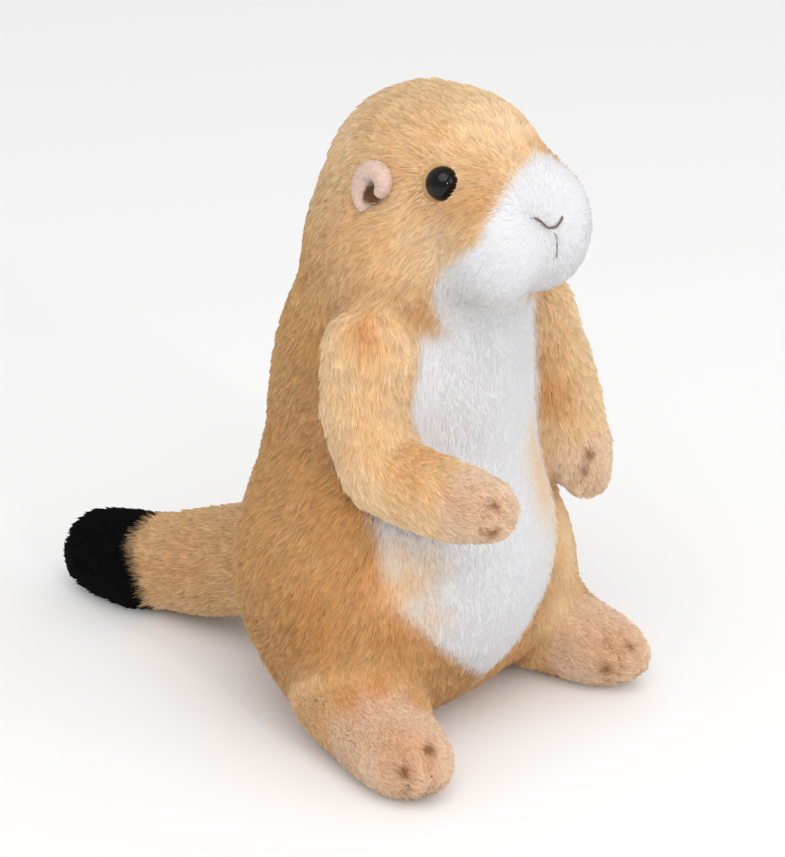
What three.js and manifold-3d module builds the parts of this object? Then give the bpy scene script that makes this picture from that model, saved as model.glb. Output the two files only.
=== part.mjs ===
// A stuffed toy prairie dog sitting upright, in millimetres: +Z up, facing -Y, its own left at +X.
// The outer surfaces stand where the tips of the pile end.
import * as THREE from "three";
import { mergeVertices } from "three/addons/utils/BufferGeometryUtils.js";
import Module from "manifold-3d";

const wasm = await Module();
wasm.setup();

// Clearance between neighbouring pieces, and the level at which the undersides are pressed flat
const seam = 0.3;
const floorLevel = 0.6;
const farAway = 400;

// Trunk
const belly = { at: [0, -0.5, 48.7], radii: [55.5, 45, 49.8] };
const chest = { at: [0, -1.5, 97.5], radii: [39.2, 38.8, 51] };
const neck = { at: [0, -5.6, 126], radii: [34.5, 30.8, 27.6] };
const hip = { at: [31.6, -9.5, 28], radii: [17.6, 23.3, 27] };
const leftThigh = { at: [39.6, -19, 31], radii: [14.6, 17.5, 27.5] };
const neckSeam = 134;

// White front panel: height, half width and how far its middle leans to the toy's right
const panel = [
  { height: 150, half: 25, lean: 0 },
  { height: 132, half: 27.5, lean: 0.5 },
  { height: 112, half: 28.5, lean: 1 },
  { height: 96, half: 29.5, lean: 2.5 },
  { height: 76, half: 33, lean: 4.3 },
  { height: 62, half: 34, lean: 5.5 },
  { height: 50, half: 31.5, lean: 6 },
  { height: 37, half: 22, lean: 5.5 },
  { height: 26, half: 11, lean: 4 },
];
const panelTip = { height: 19, lean: 3 };
const panelBack = -14;
const haunch = { inner: 12, top: 42, at: 50, slope: 0.25 };

// Head, in its own frame with the muzzle towards -Y
const headAt = new THREE.Vector3(0, -10.6, 166.7);
const headTurn = THREE.MathUtils.degToRad(-7.8);
const cranium = { at: [0, 0, 0], radii: [29.6, 28.6, 31.8] };
const cheeks = { at: [0, 0.3, -17.3], radii: [37, 32.9, 26.2] };
const bridge = { from: [0, -18.2, 10.8], to: [0, -31.8, 1.6], thick: [21.2, 14.3] };
const whiskerPad = { at: [10.7, -37.2, -3], radii: [13.8, 13.8, 19.3] };

// White of the face: a round front, and below it everything ahead of this edge, as depth and height
const whiteFront = { at: [0, -52, -2], radius: 24.4 };
const throatEdge = [
  [-44.5, 3],
  [-41.5, -1],
  [-35, -7.5],
  [-29, -12.5],
  [-26, -17.5],
  [-24.5, -24],
  [-24, -45],
];

// Face details in the head's frame
const eye = { right: [19.7, -25.8, 13.7], left: [20.6, -23.8, 13.4], radius: 5, proud: 2.6 };
const ear = { aim: [27.5, -8.6, 10.2], tilt: 0.12 };
const earRim = [
  { forward: -1, up: -7, out: 0.4, thick: 2 },
  { forward: -3.6, up: -3.5, out: 1.8, thick: 2.3 },
  { forward: -4.1, up: 1, out: 2.8, thick: 2.5 },
  { forward: -2.2, up: 4.6, out: 3.4, thick: 2.8 },
  { forward: 1.6, up: 5.2, out: 3.6, thick: 3.1 },
  { forward: 4.1, up: 2.4, out: 3, thick: 2.9 },
  { forward: 3.6, up: -0.6, out: 2, thick: 2.4 },
];
const earCup = { radii: [4.4, 6.2, 2], out: 0.8 };
const thread = 0.6;
const sunk = 0.1;
const noseStitch = [
  [-6, 6.6],
  [-3.4, 5.2],
  [-0.6, 2.2],
  [2.2, 1.6],
  [4.4, 3.4],
  [6.3, 5.4],
];
const mouthStitch = [
  [2.3, 0.1],
  [2.8, -4.2],
  [3.4, -8.8],
];

// Arms from shoulder to paw, with the radius at each point and the paw's threads at two heights
const arms = {
  right: {
    elbow: 2,
    lanes: [-2.7, 4.2],
    points: [
      { at: [-34.5, -17.3, 128.7], thick: 13.6 },
      { at: [-38.8, -17.9, 108.5], thick: 11 },
      { at: [-39.5, -26.5, 95.5], thick: 11.3 },
      { at: [-39, -39.7, 92.8], thick: 10.9 },
      { at: [-37.2, -53.1, 91.8], thick: 9.9 },
      { at: [-36.2, -61.8, 92.2], thick: 9.6 },
    ],
  },
  left: {
    elbow: 2,
    lanes: [-0.5, 4.6],
    points: [
      { at: [31.7, -27.5, 124.5], thick: 10.8 },
      { at: [35.8, -32, 103], thick: 10.6 },
      { at: [38.6, -32.2, 92.4], thick: 10.8 },
      { at: [40, -34.6, 82.4], thick: 9.8 },
      { at: [40.6, -36.8, 77], thick: 9.2 },
      { at: [39.6, -41.8, 70.6], thick: 7.8 },
    ],
  },
};

// Feet: a sole, a heel that rises into the haunch, and toe threads laid out towards the toy's right
const feet = {
  right: {
    lanes: [7.8, 0.4],
    sole: { at: [-47.3, -36.5, 11.8], radii: [14.8, 24.2, 12.4], turn: -20 },
    heel: { at: [-38.5, -15, 20.5], radii: [17.5, 21.5, 20.5] },
  },
  left: {
    lanes: [7.5, 1.6],
    sole: { at: [42.3, -36.3, 11.9], radii: [13.6, 27.6, 12.5], turn: 0 },
    heel: { at: [40.5, -17, 19], radii: [16, 20.5, 18] },
  },
};
const pawTurns = [1.2, 0.7, 0.2, -0.3, -0.8, -1.2];
const toeTurns = [0.75, 0.4, 0.05, -0.3, -0.6];

// Tail, bent slightly to the toy's right so its tip rests on the floor
const tail = [
  { at: [0.6, 40, 33.8], thick: 18.6 },
  { at: [-1.4, 72.5, 21.4], thick: 15.8 },
  { at: [-4.8, 102, 14], thick: 14.1 },
  { at: [-5.2, 115.8, 13.4], thick: 13.9 },
];
const tailBand = 97;

const vector = (p) => new THREE.Vector3(...p);
const xAxis = new THREE.Vector3(1, 0, 0);
const yAxis = new THREE.Vector3(0, 1, 0);
const zAxis = new THREE.Vector3(0, 0, 1);
const sideOf = (name) => (name === "left" ? 1 : -1);
const mirrored = (size) => ({ ...size, at: [-size.at[0], size.at[1], size.at[2]] });

// Forms give a distance-like number: below zero inside, zero on the surface
function ellipsoid({ at, radii, turn = 0 }) {
  const middle = vector(at);
  const [a, b, c] = radii;
  return (p) => {
    const q = p.clone().sub(middle).applyAxisAngle(zAxis, -THREE.MathUtils.degToRad(turn));
    const share = Math.hypot(q.x / a, q.y / b, q.z / c);
    const slope = Math.hypot(q.x / a ** 2, q.y / b ** 2, q.z / c ** 2);
    return share < 1e-6 ? -Math.min(a, b, c) : (share * (share - 1)) / slope;
  };
}

function taper({ from, to, thick }) {
  const start = vector(from);
  const run = vector(to).sub(start);
  return (p) => {
    const q = p.clone().sub(start);
    const share = THREE.MathUtils.clamp(q.dot(run) / run.lengthSq(), 0, 1);
    return q.addScaledVector(run, -share).length() - THREE.MathUtils.lerp(thick[0], thick[1], share);
  };
}

function blend(width, ...forms) {
  return (p) => {
    const join = (a, b) => Math.min(a, b) - Math.max(width - Math.abs(a - b), 0) ** 2 / (4 * width);
    return forms.map((form) => form(p)).reduce(join);
  };
}

const grown = (form, by) => (p) => form(p) - by;
const between = (form, low, high) => (p) => Math.max(form(p), low - p.z, p.z - high);
const limb = (points, width) => {
  const runs = points.slice(1).map((end, i) => {
    const start = points[i];
    return taper({ from: start.at, to: end.at, thick: [start.thick, end.thick] });
  });
  return blend(width, ...runs);
};

const toHead = (p) => p.clone().sub(headAt).applyAxisAngle(zAxis, -headTurn);
const fromHead = (p) => p.clone().applyAxisAngle(zAxis, headTurn).add(headAt);

const torso = blend(14, ellipsoid(belly), ellipsoid(chest), ellipsoid(neck), ellipsoid(mirrored(hip)), ellipsoid(hip));
const trunkForm = blend(6, torso, ellipsoid(leftThigh));
const skull = blend(
  10,
  ellipsoid(cranium),
  ellipsoid(cheeks),
  taper(bridge),
  ellipsoid(mirrored(whiskerPad)),
  ellipsoid(whiskerPad),
);
const headForm = (p) => skull(toHead(p));
const coreForm = blend(8, trunkForm, headForm);

// How far to go from a point inside a form before leaving it, never past the reach
function depth(form, start, way, reach) {
  const step = 1.5;
  let low = 0;
  while (low < reach && form(start.clone().addScaledVector(way, low + step)) < 0) {
    low += step;
  }
  if (low >= reach) {
    return reach;
  }
  let high = low + step;
  for (let i = 0; i < 14; i++) {
    const middle = (low + high) / 2;
    if (form(start.clone().addScaledVector(way, middle)) < 0) {
      low = middle;
    } else {
      high = middle;
    }
  }
  return low;
}

// A capsule whose axis follows the points and whose skin stands the given distance away from it;
// the points lie roughly in a plane square to the given direction
function sleeve(points, distance, { around, along, cap }, square = xAxis) {
  const curve = new THREE.CatmullRomCurve3(points.map(vector));
  const length = curve.getLength();
  const capsule = new THREE.CapsuleGeometry(length / 2, length, cap, around, along);
  const position = capsule.getAttribute("position");
  for (let i = 0; i < position.count; i++) {
    const way = new THREE.Vector3().fromBufferAttribute(position, i);
    const share = THREE.MathUtils.clamp(way.y / length + 0.5, 0, 1);
    const start = curve.getPointAt(share);
    const tangent = curve.getTangentAt(share);
    const across = square.clone().addScaledVector(tangent, -square.dot(tangent)).normalize();
    way.y -= (share - 0.5) * length;
    way.applyMatrix4(new THREE.Matrix4().makeBasis(across, tangent, across.clone().cross(tangent))).normalize();
    start.addScaledVector(way, distance(start, way, share));
    position.setXYZ(i, start.x, start.y, start.z);
  }
  return solid(capsule);
}

const wrapped = (points, form, reach, counts) => sleeve(points, (start, way) => depth(form, start, way, reach), counts);

function solid(geometry) {
  const bare = geometry.clone();
  bare.deleteAttribute("normal");
  bare.deleteAttribute("uv");
  const merged = mergeVertices(bare, 1e-3);
  const corners = Array.from(merged.index.array);
  const kept = [];
  for (let i = 0; i < corners.length; i += 3) {
    const [a, b, c] = corners.slice(i, i + 3);
    if (a !== b && b !== c && c !== a) {
      kept.push(a, b, c);
    }
  }
  const mesh = new wasm.Mesh({
    numProp: 3,
    vertProperties: merged.getAttribute("position").array,
    triVerts: new Uint32Array(kept),
  });
  return new wasm.Manifold(mesh);
}

// Everything on the side of a plane that its direction points to
function beyond(point, direction) {
  const box = new THREE.BoxGeometry(farAway, farAway, farAway).translate(0, 0, farAway / 2);
  box.applyQuaternion(new THREE.Quaternion().setFromUnitVectors(zAxis, direction.clone().normalize()));
  return solid(box.translate(point.x, point.y, point.z));
}

const ball = (centre, radii, wide = 20, high = 12) =>
  solid(new THREE.SphereGeometry(1, wide, high).rotateX(Math.PI / 2).scale(...radii).translate(...centre));

const toy = new THREE.Group();

function piece(name, manifold, colour, roughness = 0.95) {
  const mesh = manifold.getMesh();
  const geometry = new THREE.BufferGeometry();
  geometry.setAttribute("position", new THREE.BufferAttribute(mesh.vertProperties, 3));
  geometry.setIndex(new THREE.BufferAttribute(mesh.triVerts, 1));
  const material = new THREE.MeshStandardMaterial({ color: colour, roughness, metalness: 0 });
  const body = new THREE.Mesh(geometry, material);
  body.name = name;
  toy.add(body);
}

const tan = 0xdfb27a;
const beige = 0xd6ab86;
const white = 0xeceae6;
const black = 0x17161a;
const brown = 0x5a4a42;
const pink = 0xdcc0b0;

const aboveFloor = beyond(new THREE.Vector3(0, 0, floorLevel), zAxis);

// Trunk with the white front panel let in and the two haunches
const trunkAxis = [
  [0, -3, 32],
  [0, -5, 124],
];
const trunkCounts = { around: 28, along: 8, cap: 6 };
const trunkSolid = wrapped(trunkAxis, between(coreForm, -9, neckSeam + 8), 90, trunkCounts)
  .intersect(aboveFloor)
  .subtract(beyond(new THREE.Vector3(0, 0, neckSeam - seam / 2), zAxis));
const trunkClear = wrapped(trunkAxis, grown(between(coreForm, -9, neckSeam + 14), seam), 90, trunkCounts);

function panelCutter(widen) {
  const edge = (side) => panel.map(({ height, half, lean }) => new THREE.Vector2(side * (half + widen) - lean, height));
  const tip = new THREE.Vector2(-panelTip.lean, panelTip.height - widen);
  const outline = new THREE.Shape();
  outline.setFromPoints(new THREE.SplineCurve([...edge(-1), tip, ...edge(1).reverse()]).getPoints(34));
  const slab = new THREE.ExtrudeGeometry(outline, { depth: farAway, bevelEnabled: false });
  return solid(slab.rotateX(Math.PI / 2).translate(0, panelBack + widen, 0));
}

const shell = trunkSolid.subtract(panelCutter(seam));
piece("front_panel", trunkSolid.intersect(panelCutter(0)), white);
function haunchCutter(side, widen) {
  const inner = beyond(new THREE.Vector3(side * (haunch.inner - widen), 0, 0), new THREE.Vector3(side, 0, 0));
  const crest = new THREE.Vector3(side * haunch.at, 0, haunch.top + widen);
  return inner.intersect(beyond(crest, new THREE.Vector3(side * haunch.slope, 0, -1)));
}

piece("trunk", shell.subtract(haunchCutter(-1, seam)).subtract(haunchCutter(1, seam)), tan);
piece("haunch_right", shell.intersect(haunchCutter(-1, 0)), tan);
piece("haunch_left", shell.intersect(haunchCutter(1, 0)), tan);

// Head with the eyes let in
const headAxis = [
  [0, -4, 155],
  [-1.5, -20, 162],
  [-4.5, -38, 163],
];
const headCounts = { around: 28, along: 5, cap: 8 };
const headWhole = wrapped(headAxis, between(coreForm, neckSeam - 20, farAway), 80, headCounts);
const headClear = wrapped(headAxis, grown(between(coreForm, neckSeam - 20, farAway), 1.5 * seam), 80, headCounts);

function onHead(aim) {
  const start = fromHead(new THREE.Vector3(0, aim[1] * 0.7, aim[2] * 0.6));
  const way = fromHead(vector(aim)).sub(start).normalize();
  return start.clone().addScaledVector(way, depth(headForm, start, way, 80));
}

function outward(form, p) {
  const slope = [xAxis, yAxis, zAxis].map((axis) => form(p.clone().addScaledVector(axis, 0.2)) - form(p));
  return vector(slope).normalize();
}

let headSolid = headWhole.intersect(beyond(new THREE.Vector3(0, 0, neckSeam + seam / 2), zAxis));
for (const name of ["right", "left"]) {
  const [across, along, height] = eye[name];
  const surface = onHead([sideOf(name) * across, along, height]);
  const centre = surface.clone().addScaledVector(outward(headForm, surface), eye.proud - eye.radius);
  const bead = (radius) => ball(centre.toArray(), [radius, radius, radius], 12, 7);
  piece(`eye_${name}`, bead(eye.radius), black, 0.12);
  headSolid = headSolid.subtract(bead(eye.radius + seam));
}

function muzzleCutter(widen) {
  const outline = new THREE.Shape();
  const edge = throatEdge.map(([y, z]) => new THREE.Vector2(-y - widen, z));
  const nearTop = [new THREE.Vector2(90, -45), new THREE.Vector2(90, 3)];
  outline.setFromPoints([...new THREE.SplineCurve(edge).getPoints(10), ...nearTop]);
  const slab = new THREE.ExtrudeGeometry(outline, { depth: 120, bevelEnabled: false }).translate(0, 0, -60);
  slab.applyMatrix4(new THREE.Matrix4().makeBasis(yAxis.clone().negate(), zAxis, xAxis.clone().negate()));
  const lower = solid(slab.rotateZ(headTurn).translate(...headAt.toArray()));
  const radius = whiteFront.radius + widen;
  return ball(fromHead(vector(whiteFront.at)).toArray(), [radius, radius, radius], 18, 10).add(lower);
}

// A thread lies in a furrow of the pile, which is cut from the piece it is sewn through
const rod = (points, radius, along, square) => sleeve(points, () => radius, { around: 5, along, cap: 1 }, square);

function sewn(name, points, body, along, square) {
  piece(name, rod(points, thread, along, square), brown);
  return body.subtract(rod(points, thread + seam, along, square));
}

function onMuzzle([x, z]) {
  const start = fromHead(new THREE.Vector3(x, -25, z));
  const way = fromHead(yAxis.clone().negate()).sub(headAt);
  return start.clone().addScaledVector(way, depth(headForm, start, way, 60) + sunk).toArray();
}

piece("crown", headSolid.subtract(muzzleCutter(seam)), tan);
const muzzleSolid = headSolid.intersect(muzzleCutter(0));
const withNose = sewn("nose_stitch", noseStitch.map(onMuzzle), muzzleSolid, 8, yAxis);
piece("muzzle", sewn("mouth_stitch", mouthStitch.map(onMuzzle), withNose, 4, xAxis), white);

// Ears: a rolled rim around a shallow cup, standing off the side of the head
for (const name of ["right", "left"]) {
  const side = sideOf(name);
  const root = onHead([side * ear.aim[0], ear.aim[1], ear.aim[2]]);
  const out = outward(headForm, root);
  const forward = fromHead(yAxis.clone().negate()).sub(headAt);
  forward.addScaledVector(out, -forward.dot(out)).normalize();
  const up = forward.clone().cross(out).multiplyScalar(side).negate();
  if (up.z < 0) {
    up.negate();
  }
  forward.applyAxisAngle(out, side * ear.tilt);
  up.applyAxisAngle(out, side * ear.tilt);
  const place = (f, u, o) => root.clone().addScaledVector(forward, f).addScaledVector(up, u).addScaledVector(out, o);
  const rim = sleeve(
    earRim.map((r) => place(r.forward, r.up, r.out).toArray()),
    (start, way, share) => {
      const at = share * (earRim.length - 1);
      const low = Math.min(Math.floor(at), earRim.length - 2);
      return THREE.MathUtils.lerp(earRim[low].thick, earRim[low + 1].thick, at - low);
    },
    { around: 7, along: 9, cap: 1 },
    out,
  );
  const cup = new THREE.SphereGeometry(1, 9, 6).scale(...earCup.radii);
  cup.applyMatrix4(new THREE.Matrix4().makeBasis(forward, up, forward.clone().cross(up)));
  const back = solid(cup.translate(...place(0, 0, earCup.out).toArray()));
  piece(`ear_${name}`, rim.add(back).subtract(headClear), pink);
}

// The body that the arms lie against, with its middle filled at the neck
const bodyClear = trunkClear.add(headClear).add(ball([0, -5, neckSeam], [31, 28, 22]));

// Arms, each a single sewn tube parted at the elbow and the wrist
function toeThreads(name, form, body, tip, heading, flat, lanes, turns) {
  const across = heading.clone().cross(flat).normalize();
  return lanes.reduce((whole, lane, i) => {
    const base = tip.clone().addScaledVector(across, lane);
    const places = turns.map((turn) => {
      const way = heading.clone().multiplyScalar(Math.cos(turn)).addScaledVector(flat, Math.sin(turn));
      return base.clone().addScaledVector(way, depth(form, base, way, 40) + sunk).toArray();
    });
    return sewn(`${name}_stitch_${i + 1}`, places, whole, 4, across);
  }, body);
}

for (const [name, { points, elbow, lanes }] of Object.entries(arms)) {
  const form = limb(points, 4);
  const places = points.map((p) => p.at);
  const wrist = points.length - 2;
  const counts = { around: 12, along: 4, cap: 3 };
  const upperRun = places.slice(0, elbow + 1);
  const lowerRun = places.slice(elbow);
  const bend = vector(places[elbow + 1]).sub(vector(places[elbow - 1]));
  const reach = vector(places[wrist + 1]).sub(vector(places[wrist]));
  const cut = (solidArm, at, way, side) => {
    const point = vector(places[at]).addScaledVector(way.clone().normalize(), (side * seam) / 2);
    return solidArm.intersect(beyond(point, way.clone().multiplyScalar(side)));
  };
  const bendAt = vector(places[elbow]);
  const short = (side) => (p) => Math.max(form(p), side * p.clone().sub(bendAt).dot(bend) / bend.length() - 3);
  const upper = cut(wrapped(upperRun, short(1), 34, counts), elbow, bend, -1);
  const lower = cut(wrapped(lowerRun, short(-1), 34, counts), elbow, bend, 1);
  piece(`upper_arm_${name}`, upper.subtract(bodyClear), tan);
  piece(`forearm_${name}`, cut(lower, wrist, reach, -1).subtract(bodyClear), tan);
  const heading = reach.clone().normalize();
  const flat = xAxis.clone().addScaledVector(heading, -heading.x).normalize();
  const tip = vector(places[wrist + 1]).addScaledVector(heading, -1);
  const paw = cut(lower, wrist, reach, 1).subtract(bodyClear);
  piece(`paw_${name}`, toeThreads(`paw_${name}`, form, paw, tip, heading, flat, lanes, pawTurns), beige);
}

// Feet
for (const [name, { sole, heel, lanes }] of Object.entries(feet)) {
  const form = blend(8, ellipsoid(sole), ellipsoid(heel));
  const heading = yAxis.clone().negate().applyAxisAngle(zAxis, THREE.MathUtils.degToRad(sole.turn));
  const toe = vector(sole.at).addScaledVector(heading, 8);
  const run = [[heel.at[0], heel.at[1], sole.at[2] + 4], toe.toArray()];
  const counts = { around: 14, along: 3, cap: 4 };
  const foot = wrapped(run, form, 45, counts).subtract(trunkClear).intersect(aboveFloor);
  piece(`foot_${name}`, toeThreads(`foot_${name}`, form, foot, toe, heading, zAxis, lanes, toeTurns), beige);
}

// Tail and its black tip
const tailForm = limb(tail, 5);
const tailSolid = wrapped(tail.map((p) => p.at), tailForm, 40, { around: 14, along: 6, cap: 3 }).intersect(aboveFloor);
const tailWay = vector(tail[2].at).sub(vector(tail[1].at)).normalize();
const bandAt = (shift) => new THREE.Vector3(tail[2].at[0], tailBand, tail[2].at[2]).addScaledVector(tailWay, shift);
piece("tail", tailSolid.subtract(trunkClear).subtract(beyond(bandAt(-seam / 2), tailWay)), tan);
piece("tail_tip", tailSolid.intersect(beyond(bandAt(seam / 2), tailWay)), black);

// The floor under the middle of the whole toy is the origin
const bounds = new THREE.Box3().setFromObject(toy);
const middle = bounds.getCenter(new THREE.Vector3());
for (const body of toy.children) {
  body.geometry.translate(-middle.x, -middle.y, -bounds.min.z);
}

export default toy;
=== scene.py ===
import math

import bpy
import numpy as np
from mathutils import Matrix, Vector
from mathutils.bvhtree import BVHTree
from mathutils.kdtree import KDTree


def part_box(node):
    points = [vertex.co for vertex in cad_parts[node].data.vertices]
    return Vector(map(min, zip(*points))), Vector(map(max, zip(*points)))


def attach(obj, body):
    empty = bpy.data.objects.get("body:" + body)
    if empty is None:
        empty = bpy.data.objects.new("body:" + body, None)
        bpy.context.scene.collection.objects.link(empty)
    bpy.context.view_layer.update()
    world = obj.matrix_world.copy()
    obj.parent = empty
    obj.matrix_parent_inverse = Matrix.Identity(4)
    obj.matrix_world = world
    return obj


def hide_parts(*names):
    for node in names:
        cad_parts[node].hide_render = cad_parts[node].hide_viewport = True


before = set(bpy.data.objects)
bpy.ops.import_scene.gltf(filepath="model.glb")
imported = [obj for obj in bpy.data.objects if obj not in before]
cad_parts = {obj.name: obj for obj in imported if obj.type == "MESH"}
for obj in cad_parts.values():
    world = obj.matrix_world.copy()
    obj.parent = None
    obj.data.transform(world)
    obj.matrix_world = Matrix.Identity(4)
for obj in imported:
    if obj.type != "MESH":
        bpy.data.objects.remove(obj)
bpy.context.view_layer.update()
mm = 0.001
seat = np.array([3.409, -28.98, -0.6])  # from the drawing's centre line to the row frame, in mm


def pause(stage):
    print("stage:", stage, flush=True)


def linear(code):
    parts = [int(code[i : i + 2], 16) / 255 for i in (1, 3, 5)]
    return [c / 12.92 if c <= 0.04045 else ((c + 0.055) / 1.055) ** 2.4 for c in parts] + [1.0]


def addNode(tree, kind, settings=None, inputs=None):
    node = tree.nodes.new(kind)
    for name, value in (settings or {}).items():
        setattr(node, name, value)
    for name, value in (inputs or {}).items():
        if isinstance(value, bpy.types.NodeSocket):
            tree.links.new(value, node.inputs[name])
        else:
            node.inputs[name].default_value = value
    return node


def newMaterial(name):
    material = bpy.data.materials.new(name)
    material.use_nodes = True
    return material, material.node_tree, material.node_tree.nodes["Principled BSDF"]


def deselectAll():
    if bpy.context.object and bpy.context.object.mode != "OBJECT":
        bpy.ops.object.mode_set(mode="OBJECT")
    bpy.ops.object.select_all(action="DESELECT")


def makeActive(piece):
    deselectAll()
    piece.select_set(True)
    bpy.context.view_layer.objects.active = piece


def linked(name, data):
    piece = bpy.data.objects.new(name, data)
    bpy.context.scene.collection.objects.link(piece)
    return piece


def applied(piece, kind, **settings):
    makeActive(piece)
    modifier = piece.modifiers.new(kind.lower(), kind)
    for name, value in settings.items():
        setattr(modifier, name, value)
    bpy.ops.object.modifier_apply(modifier=modifier.name)


def swollen(piece, depth):
    applied(piece, "DISPLACE", strength=depth * mm, mid_level=0)


def smoothed(piece, rounds):
    applied(piece, "SMOOTH", factor=0.5, iterations=rounds)


def settle(piece):
    makeActive(piece)
    bpy.ops.object.transform_apply(location=True, rotation=True, scale=True)


def smoothFaces(piece):
    makeActive(piece)
    bpy.ops.object.shade_smooth()


def joined(pieces, name):
    deselectAll()
    for piece in pieces:
        piece.select_set(True)
    bpy.context.view_layer.objects.active = pieces[0]
    bpy.ops.object.join()
    pieces[0].name = pieces[0].data.name = name
    return pieces[0]


def aimed(piece, way, axis):
    piece.rotation_mode = "QUATERNION"
    piece.rotation_quaternion = Vector(way).to_track_quat(axis, "Y")


# Ball with three half axes in mm, turned by a quaternion
def ellipsoid(place, axes, turn, segments):
    deselectAll()
    bpy.ops.mesh.primitive_uv_sphere_add(
        segments=segments, ring_count=segments // 2, radius=1, location=place)
    piece = bpy.context.object
    piece.scale = tuple(a * mm for a in axes)
    piece.rotation_mode = "QUATERNION"
    piece.rotation_quaternion = turn
    settle(piece)
    return piece


# Round bar along a path, in metres, straight from point to point or as a smooth curve
def bar(name, path, thick, fineness, radii=None):
    curve = bpy.data.curves.new(name, "CURVE")
    curve.dimensions = "3D"
    curve.bevel_depth = thick * mm
    curve.bevel_resolution = fineness
    curve.use_fill_caps = True
    spline = curve.splines.new("NURBS" if radii else "POLY")
    spline.points.add(len(path) - 1)
    spline.points.foreach_set("co", np.column_stack([path, np.ones(len(path))]).ravel())
    if radii:
        spline.points.foreach_set("radius", radii)
        spline.use_endpoint_u = True
        spline.order_u = 3
    makeActive(linked(name, curve))
    bpy.ops.object.convert(target="MESH")
    return bpy.context.object


def unit(v):
    return v / np.maximum(np.linalg.norm(v, axis=-1, keepdims=True), 1e-12)


# The part of each way that lies square to another
def squareTo(v, other):
    return unit(v - other * (v * other).sum(1, keepdims=True))


def smoothStep(low, high, x):
    t = np.clip((x - low) / (high - low), 0, 1)
    return t * t * (3 - 2 * t)


def softEdge(half, x):
    return smoothStep(-half, half, x)


def bump(distance, reach):
    return np.exp(-((distance / reach) ** 2))


def readTable(rows, where, column=1):
    rows = sorted(rows)
    return np.interp(where, [r[0] for r in rows], [r[column] for r in rows])


def readArray(items, name, width, kind):
    values = np.empty(len(items) * width, kind)
    items.foreach_get(name, values)
    return values.reshape(-1, width)


def meshPoints(mesh):
    return readArray(mesh.vertices, "co", 3, np.float32).astype(float)


def meshNormals(mesh):
    return readArray(mesh.vertices, "normal", 3, np.float32).astype(float)


def meshTriangles(mesh):
    mesh.calc_loop_triangles()
    return readArray(mesh.loop_triangles, "vertices", 3, np.int32)


def meshEdges(mesh):
    return readArray(mesh.edges, "vertices", 2, np.int32)


def cornerUvs(mesh):
    uvs = readArray(mesh.uv_layers["OFBake"].data, "uv", 2, np.float32)
    return uvs[readArray(mesh.loop_triangles, "loops", 3, np.int32)]


def surfaceTree(points, tris):
    return BVHTree.FromPolygons(points.tolist(), tris.tolist())


def nearestOn(tree, points):
    hits = [tree.find_nearest(p) for p in points.tolist()]
    return np.array([h[0] for h in hits]), np.array([h[2] for h in hits])


def pointTree(points):
    tree = KDTree(len(points))
    for i, point in enumerate(points.tolist()):
        tree.insert(point, i)
    tree.balance()
    return tree


def distanceTo(points, targets):
    tree = pointTree(targets)
    return np.array([tree.find(p)[2] for p in points.tolist()])


def nodeCopy(node):
    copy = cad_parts[node].copy()
    copy.data = copy.data.copy()
    copy.parent = None
    for key in list(copy.keys()):
        del copy[key]
    copy.data.materials.clear()
    bpy.context.scene.collection.objects.link(copy)
    return copy


def mergeDoubles(piece):
    makeActive(piece)
    bpy.ops.object.mode_set(mode="EDIT")
    bpy.ops.mesh.select_all(action="SELECT")
    bpy.ops.mesh.remove_doubles(threshold=1e-6)
    bpy.ops.object.mode_set(mode="OBJECT")


# Camera at the photograph's place
cameraSettings = dict(
    azimuth=-51.08, elevation=24.12, distance=1.2, lens=168.03, sensor=36, clip=(0.01, 20),
    target=(0, 2, 87),
)


def makeCamera(c):
    a, e = math.radians(c["azimuth"]), math.radians(c["elevation"])
    back = Vector((math.sin(a) * math.cos(e), -math.cos(a) * math.cos(e), math.sin(e)))
    data = bpy.data.cameras.new("photoCamera")
    data.lens = c["lens"]
    data.sensor_width = c["sensor"]
    data.clip_start, data.clip_end = c["clip"]
    camera = linked("photoCamera", data)
    camera.location = Vector((np.array(c["target"]) + seat) * mm) + back * c["distance"]
    aimed(camera, -back, "-Z")
    bpy.context.scene.camera = camera


makeCamera(cameraSettings)

# Where the pile changes colour, in mm. The head's values are in its own turned frame: the cheek's
# edge by place across, the throat's by height. The panel has its height, half width and lean.
head = dict(at=(0, -10.6, 166.7), turn=-7.8, nose=(0, -52, 2), throatToCheek=(-2, 4))
cheekEdge = [
    (-24, -42.5), (-20, -43.3), (-15, -43.8), (-10, -42.3), (-6, -40.5), (-2, -38.8),
    (3, -37.2), (8, -35), (12, -35.5), (16, -37.5), (20, -40.5), (24, -42.5),
]
throatEdge = [(3, -44.5), (-1, -41.5), (-7.5, -35), (-12.5, -29), (-17.5, -26), (-24, -24.5), (-45, -24)]
panelRows = [
    (150, 25, 0), (132, 27.5, 0.5), (112, 28.5, 1), (96, 29.5, 2.5), (76, 33, 4.3),
    (62, 34, 5.5), (50, 31.5, 6), (37, 22, 5.5), (26, 11, 4), (18, 0, 3),
]
panelBack = -14
tailBand = dict(
    at=(-4.8, 97, 14), way=(-0.113, 0.935, -0.335), wedge=0.8, wedgeFrom=9, wedgeMost=20,
    flanks=7.5, flanksMost=8,
)
softness = dict(face=1.5, panel=2, tail=0.8, ankle=3)  # half the width of each change of colour
ankles = {"foot_right": ((-0.72, -0.69, 0), 55), "foot_left": ((0, -1, 0), 37)}  # way and place along it

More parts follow.
